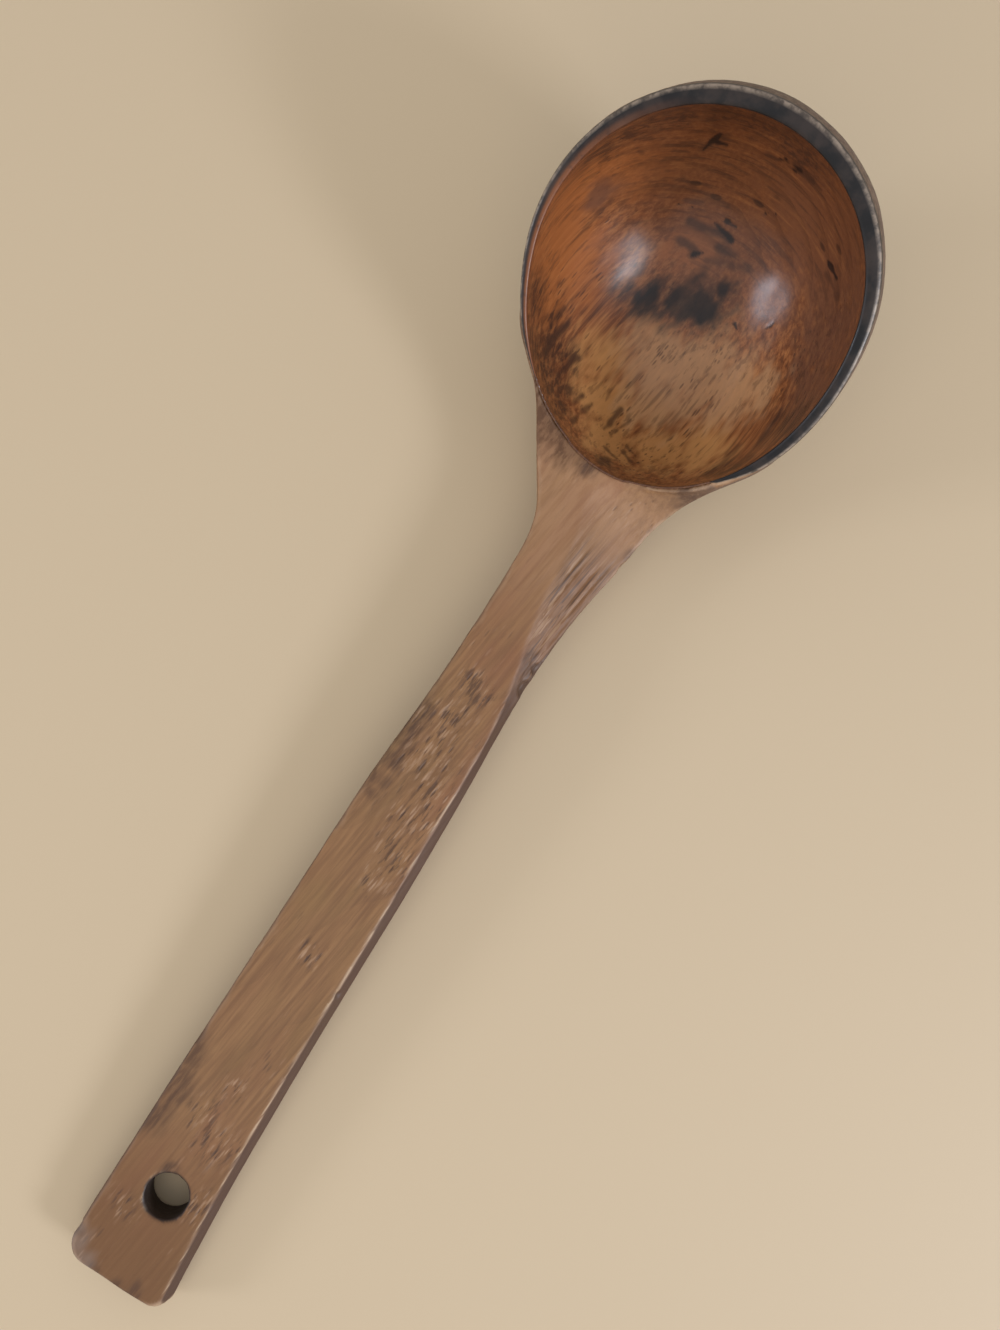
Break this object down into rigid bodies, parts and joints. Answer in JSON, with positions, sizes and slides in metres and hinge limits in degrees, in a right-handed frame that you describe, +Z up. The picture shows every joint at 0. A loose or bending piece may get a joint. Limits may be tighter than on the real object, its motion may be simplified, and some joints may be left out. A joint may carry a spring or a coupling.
{
  "type": "carved wooden ladle",
  "caption": "One-piece carved wooden ladle with a deep round bowl, lacquered lip and hollow, faceted neck and flat handle with a hanging hole.",
  "frame": {"origin": "centre of the footprint, on the table that the ladle rests on", "axes": "+X along the handle towards the bowl, +Y to the left, +Z up"},
  "size_m": [0.2926, 0.078, 0.0734],
  "materials": {
    "oiled_wood": "satin",
    "dark_lacquer": "satin",
    "amber_lacquer": "gloss"
  },
  "bodies": {
    "root": {"carved_wood": "oiled_wood", "rim_lacquer": "dark_lacquer", "bowl_lacquer": "amber_lacquer"}
  },
  "joints": []
}
